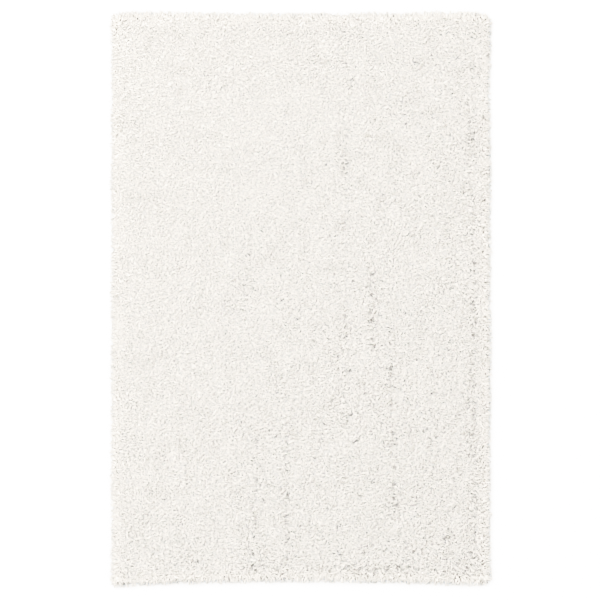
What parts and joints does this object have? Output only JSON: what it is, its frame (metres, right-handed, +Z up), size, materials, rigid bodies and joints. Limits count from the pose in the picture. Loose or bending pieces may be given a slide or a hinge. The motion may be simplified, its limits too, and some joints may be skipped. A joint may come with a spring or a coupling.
{
  "type": "shag rug",
  "caption": "Deep-pile shag rug lying flat, a lumpy pile with loose yarn ends round its rim on a thin woven ground cloth. Covers a floor and rests on it.",
  "frame": {"origin": "on the floor under the middle of the rug", "axes": "+Z up from the floor, +Y along the rug towards its head end, +X across it to the right as seen from above"},
  "size_m": [1.22, 1.8434, 0.0483],
  "materials": {
    "ground_cloth": "coarse plain-woven ground cloth, matt",
    "pile": "soft ivory shag yarn, matt, with a faint sheen at the yarn ends"
  },
  "bodies": {
    "root": {"ground_cloth": "ground_cloth", "pile": "pile"}
  },
  "joints": []
}
